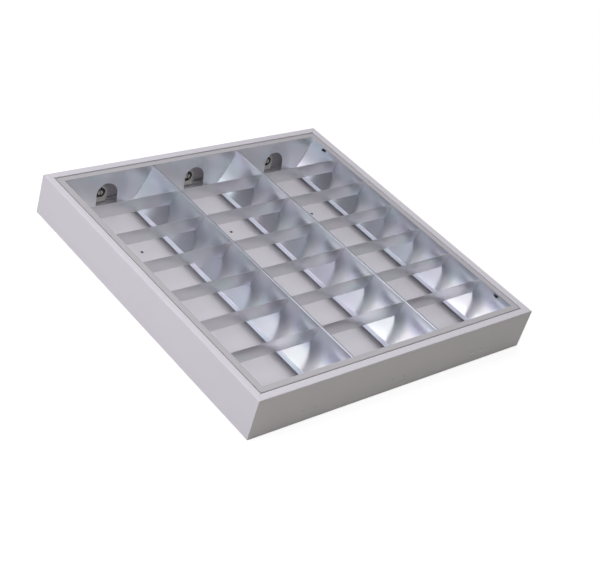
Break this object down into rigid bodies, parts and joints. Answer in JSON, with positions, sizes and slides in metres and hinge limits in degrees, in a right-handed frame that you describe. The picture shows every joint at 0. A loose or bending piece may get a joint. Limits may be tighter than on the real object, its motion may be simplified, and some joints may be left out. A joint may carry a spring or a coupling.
{
  "type": "recessed troffer light",
  "caption": "Square recessed ceiling light for tubular lamps: sheet steel tray with a hinged louvre of curved aluminium reflectors and cross blades.",
  "frame": {"origin": "centre of the back, on the plane it lies on", "axes": "+Z points out of the open face, Y runs along the lamps, X across them"},
  "size_m": [0.62, 0.6218, 0.078],
  "materials": {
    "powder_coat": "satin powder coat",
    "frame_coat": "satin powder coat",
    "reflector_aluminium": "satin anodised",
    "blade_aluminium": "satin anodised",
    "zinc_steel": "zinc plated",
    "rivet_aluminium": "plain",
    "spring_steel": "bright",
    "gear_coat": "smooth",
    "holder_plastic": "moulded",
    "black_plastic": "moulded",
    "circuit_board": "lacquered",
    "screw_brass": "turned",
    "grommet_rubber": "moulded",
    "wire_sheath": "extruded",
    "earth_sheath": "extruded",
    "clip_plastic": "moulded"
  },
  "bodies": {
    "housing": {"ballast_base": "zinc_steel", "ballast_board": "circuit_board", "ballast_cover": "gear_coat", "ballast_terminals": "holder_plastic", "cable_grommet": "grommet_rubber", "catch_spring_front": "spring_steel", "catch_spring_rear": "spring_steel", "earth_lead": "earth_sheath", "end_wall_front": "powder_coat", "end_wall_rear": "powder_coat", "housing_tray": "powder_coat", "lampholder_brackets_front": "zinc_steel", "lampholder_brackets_rear": "zinc_steel", "lampholder_front_left": "holder_plastic", "lampholder_front_middle": "holder_plastic", "lampholder_front_right": "holder_plastic", "lampholder_rear_left": "holder_plastic", "lampholder_rear_middle": "holder_plastic", "lampholder_rear_right": "holder_plastic", "lampholder_rivets_front": "rivet_aluminium", "lampholder_rivets_rear": "rivet_aluminium", "loom_clips": "clip_plastic", "loom_front": "wire_sheath", "loom_rear": "wire_sheath", "mains_leads": "wire_sheath", "stud_nuts": "zinc_steel", "terminal_block": "holder_plastic", "terminal_screws": "screw_brass", "weld_studs": "zinc_steel"},
    "louvre": {"bolt_guides": "black_plastic", "bolt_spring_front": "spring_steel", "bolt_spring_rear": "spring_steel", "centre_reflector_left": "reflector_aluminium", "centre_reflector_right": "reflector_aluminium", "corner_keys": "zinc_steel", "cross_blade_1": "blade_aluminium", "cross_blade_2": "blade_aluminium", "cross_blade_3": "blade_aluminium", "cross_blade_4": "blade_aluminium", "cross_blade_5": "blade_aluminium", "cross_blade_6": "blade_aluminium", "end_plate_front": "reflector_aluminium", "end_plate_rear": "reflector_aluminium", "frame_rail_front": "frame_coat", "frame_rail_left": "frame_coat", "frame_rail_rear": "frame_coat", "frame_rail_right": "frame_coat", "side_reflector_left": "reflector_aluminium", "side_reflector_right": "reflector_aluminium"},
    "bolt_front": {"pivot_bolt_front": "zinc_steel", "bolt_slider_front": "black_plastic"},
    "bolt_rear": {"pivot_bolt_rear": "zinc_steel", "bolt_slider_rear": "black_plastic"},
    "rotor_front_left": {"lamp_rotor_front_left": "black_plastic"},
    "rotor_front_middle": {"lamp_rotor_front_middle": "black_plastic"},
    "rotor_front_right": {"lamp_rotor_front_right": "black_plastic"},
    "rotor_rear_left": {"lamp_rotor_rear_left": "black_plastic"},
    "rotor_rear_middle": {"lamp_rotor_rear_middle": "black_plastic"},
    "rotor_rear_right": {"lamp_rotor_rear_right": "black_plastic"}
  },
  "joints": [
    {"name": "louvre_hinge", "type": "hinge", "parent": "housing", "child": "louvre", "pos_m": [0.2914, 0, 0.074], "axis": [0, 1, 0], "range_deg": [0, 90]},
    {"name": "bolt_front_slide", "type": "slide", "parent": "louvre", "child": "bolt_front", "axis": [0, 1, 0], "range_m": [0, 0.0045], "stiffness_N_per_m": 300, "springref_m": -0.004, "deforming": ["bolt_spring_front"]},
    {"name": "bolt_rear_slide", "type": "slide", "parent": "louvre", "child": "bolt_rear", "axis": [0, -1, 0], "range_m": [0, 0.0045], "stiffness_N_per_m": 300, "springref_m": -0.004, "deforming": ["bolt_spring_rear"]},
    {"name": "rotor_front_left_turn", "type": "hinge", "parent": "housing", "child": "rotor_front_left", "pos_m": [-0.193, -0.298, 0.0275], "axis": [0, 1, 0], "range_deg": [0, 90]},
    {"name": "rotor_front_middle_turn", "type": "hinge", "parent": "housing", "child": "rotor_front_middle", "pos_m": [0, -0.298, 0.0275], "axis": [0, 1, 0], "range_deg": [0, 90]},
    {"name": "rotor_front_right_turn", "type": "hinge", "parent": "housing", "child": "rotor_front_right", "pos_m": [0.193, -0.298, 0.0275], "axis": [0, 1, 0], "range_deg": [0, 90]},
    {"name": "rotor_rear_left_turn", "type": "hinge", "parent": "housing", "child": "rotor_rear_left", "pos_m": [-0.193, 0.298, 0.0275], "axis": [0, 1, 0], "range_deg": [0, 90]},
    {"name": "rotor_rear_middle_turn", "type": "hinge", "parent": "housing", "child": "rotor_rear_middle", "pos_m": [0, 0.298, 0.0275], "axis": [0, 1, 0], "range_deg": [0, 90]},
    {"name": "rotor_rear_right_turn", "type": "hinge", "parent": "housing", "child": "rotor_rear_right", "pos_m": [0.193, 0.298, 0.0275], "axis": [0, 1, 0], "range_deg": [0, 90]}
  ]
}
